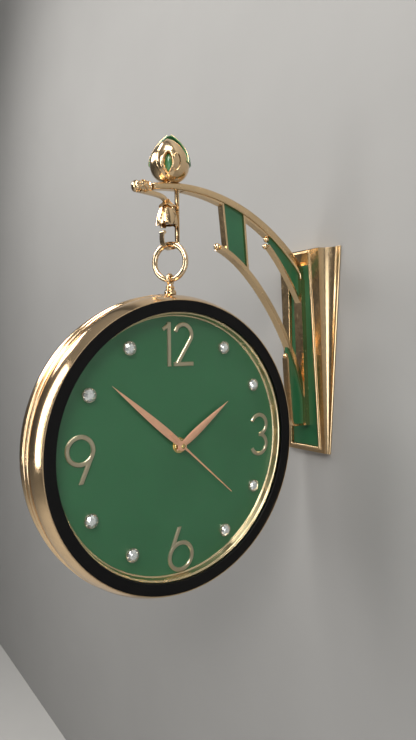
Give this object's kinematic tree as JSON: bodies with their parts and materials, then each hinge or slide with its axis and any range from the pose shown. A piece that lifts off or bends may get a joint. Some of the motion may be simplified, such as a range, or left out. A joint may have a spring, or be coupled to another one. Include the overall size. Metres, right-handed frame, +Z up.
{
  "type": "double-sided wall bracket clock",
  "caption": "Round clock with a dial on each side, hung by a swivel and ring from a scrolled wall bracket with enamel panels, a petal finial and a bell flower.",
  "frame": {"origin": "centre of the bracket foot's back, on the wall", "axes": "+Z up, -Y out from the wall along the arm, the dials face +X and -X"},
  "size_m": [0.12, 0.436, 0.5608],
  "materials": {
    "antique_gold": "worn metallic",
    "green_enamel": "gloss",
    "dial_enamel": "satin",
    "figure_gold": "satin",
    "black_lacquer": "gloss",
    "clear_glass": "clear",
    "crystal_glass": "cut and polished",
    "zinc_steel": "zinc plated",
    "brass": "turned",
    "black_plastic": "moulded",
    "cell_wrap": "printed film",
    "hand_copper": "satin metallic"
  },
  "bodies": {
    "bracket": {"wall_plate": "zinc_steel", "foot_casting": "antique_gold", "foot_moulding": "antique_gold", "foot_panel": "green_enamel", "foot_cove": "antique_gold", "lock_screws": "zinc_steel", "arm_screws": "zinc_steel", "arm_spine": "antique_gold", "top_bar": "antique_gold", "lower_bar": "antique_gold", "inner_bar": "antique_gold", "slat_rims": "antique_gold", "fin_rim": "antique_gold", "slat_panel": "green_enamel", "triangle_panel": "green_enamel", "fin_panel": "green_enamel", "rim_balls": "antique_gold", "tip_bud": "antique_gold", "finial_shell": "antique_gold", "finial_petal": "green_enamel", "finial_stud": "antique_gold", "flower_stem": "antique_gold", "flower_bell": "antique_gold", "hook": "antique_gold"},
    "ring": {"hanging_ring": "antique_gold"},
    "eye": {"swivel_eye": "antique_gold", "swivel_nut": "zinc_steel"},
    "case": {"swivel_collar": "antique_gold", "hanger_strap": "zinc_steel", "case_band": "antique_gold", "bezel_front": "antique_gold", "bezel_rear": "antique_gold", "black_ring_front": "black_lacquer", "black_ring_rear": "black_lacquer", "rehaut_front": "antique_gold", "rehaut_rear": "antique_gold", "glass_front": "clear_glass", "glass_rear": "clear_glass", "dial_front": "dial_enamel", "dial_rear": "dial_enamel", "figures_front": "figure_gold", "figures_rear": "figure_gold", "crystals": "crystal_glass", "crystal_claws": "figure_gold", "movement_front": "black_plastic", "movement_rear": "black_plastic", "movement_nuts": "brass", "cells": "cell_wrap"},
    "minute_front": {"minute_hand_front": "hand_copper", "setting_knob_front": "black_plastic"},
    "hour_front": {"hour_hand_front": "hand_copper"},
    "second_front": {"second_hand_front": "hand_copper"},
    "minute_rear": {"minute_hand_rear": "hand_copper", "setting_knob_rear": "black_plastic"},
    "hour_rear": {"hour_hand_rear": "hand_copper"},
    "second_rear": {"second_hand_rear": "hand_copper"}
  },
  "joints": [
    {"name": "ring_swing", "type": "hinge", "parent": "bracket", "child": "ring", "pos_m": [0, -0.252, 0.1247], "axis": [0, 1, 0], "range_deg": [-30, 30]},
    {"name": "eye_swing", "type": "hinge", "parent": "ring", "child": "eye", "pos_m": [0, -0.252, 0.0915], "axis": [0.891, 0.454, 0], "range_deg": [-25, 3]},
    {"name": "case_turn", "type": "hinge", "parent": "eye", "child": "case", "pos_m": [0, -0.252, 0.075], "axis": [0, 0, 1], "continuous": true},
    {"name": "minute_front", "type": "hinge", "parent": "case", "child": "minute_front", "pos_m": [0, -0.252, -0.111], "axis": [-1, 0, 0], "continuous": true},
    {"name": "hour_front", "type": "hinge", "parent": "case", "child": "hour_front", "pos_m": [0, -0.252, -0.111], "axis": [-1, 0, 0], "continuous": true},
    {"name": "second_front", "type": "hinge", "parent": "case", "child": "second_front", "pos_m": [0, -0.252, -0.111], "axis": [-1, 0, 0], "continuous": true},
    {"name": "minute_rear", "type": "hinge", "parent": "case", "child": "minute_rear", "pos_m": [0, -0.252, -0.111], "axis": [1, 0, 0], "continuous": true},
    {"name": "hour_rear", "type": "hinge", "parent": "case", "child": "hour_rear", "pos_m": [0, -0.252, -0.111], "axis": [1, 0, 0], "continuous": true},
    {"name": "second_rear", "type": "hinge", "parent": "case", "child": "second_rear", "pos_m": [0, -0.252, -0.111], "axis": [1, 0, 0], "continuous": true}
  ],
  "couplings": [
    {"joint": "hour_front", "follows": "minute_front", "ratio": 0.083333},
    {"joint": "hour_rear", "follows": "minute_rear", "ratio": 0.083333}
  ]
}
